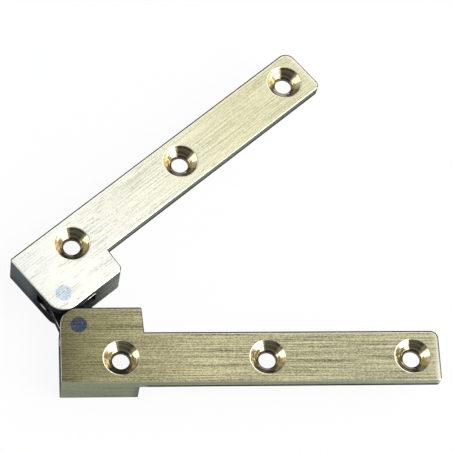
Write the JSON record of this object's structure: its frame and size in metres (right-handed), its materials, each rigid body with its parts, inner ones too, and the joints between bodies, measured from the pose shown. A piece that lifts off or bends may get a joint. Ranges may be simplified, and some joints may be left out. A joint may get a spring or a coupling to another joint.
{
  "type": "card table hinge",
  "caption": "Flush double-pivot card table hinge: two L-shaped brass leaves with countersunk screw holes, joined by a steel link that turns on a pin in each head.",
  "frame": {"origin": "middle screw hole of the lower leaf, in the plane of the arms' backs", "axes": "+X along the lower leaf from its head to its free end, +Z out of the countersunk front faces along the pins, +Y towards the upper leaf"},
  "size_m": [0.1022, 0.0878, 0.0103],
  "materials": {
    "leaf_brass": "brushed along the leaf, polished countersinks",
    "pin_steel": "ground flush with the leaf and brushed with it",
    "link_steel": "dark oiled steel"
  },
  "bodies": {
    "lower": {"lower_leaf": "leaf_brass", "lower_pin": "pin_steel"},
    "link": {"link": "link_steel"},
    "upper": {"upper_leaf": "leaf_brass", "upper_pin": "pin_steel"}
  },
  "joints": [
    {"name": "lower_pivot", "type": "hinge", "parent": "lower", "child": "link", "pos_m": [-0.0448, 0.00845, 0], "axis": [0, 0, 1], "range_deg": [-22.9, 67.1]},
    {"name": "upper_pivot", "type": "hinge", "parent": "link", "child": "upper", "pos_m": [-0.04826, 0.01665, 0], "axis": [0, 0, 1], "range_deg": [-16.4, 73.6]}
  ]
}
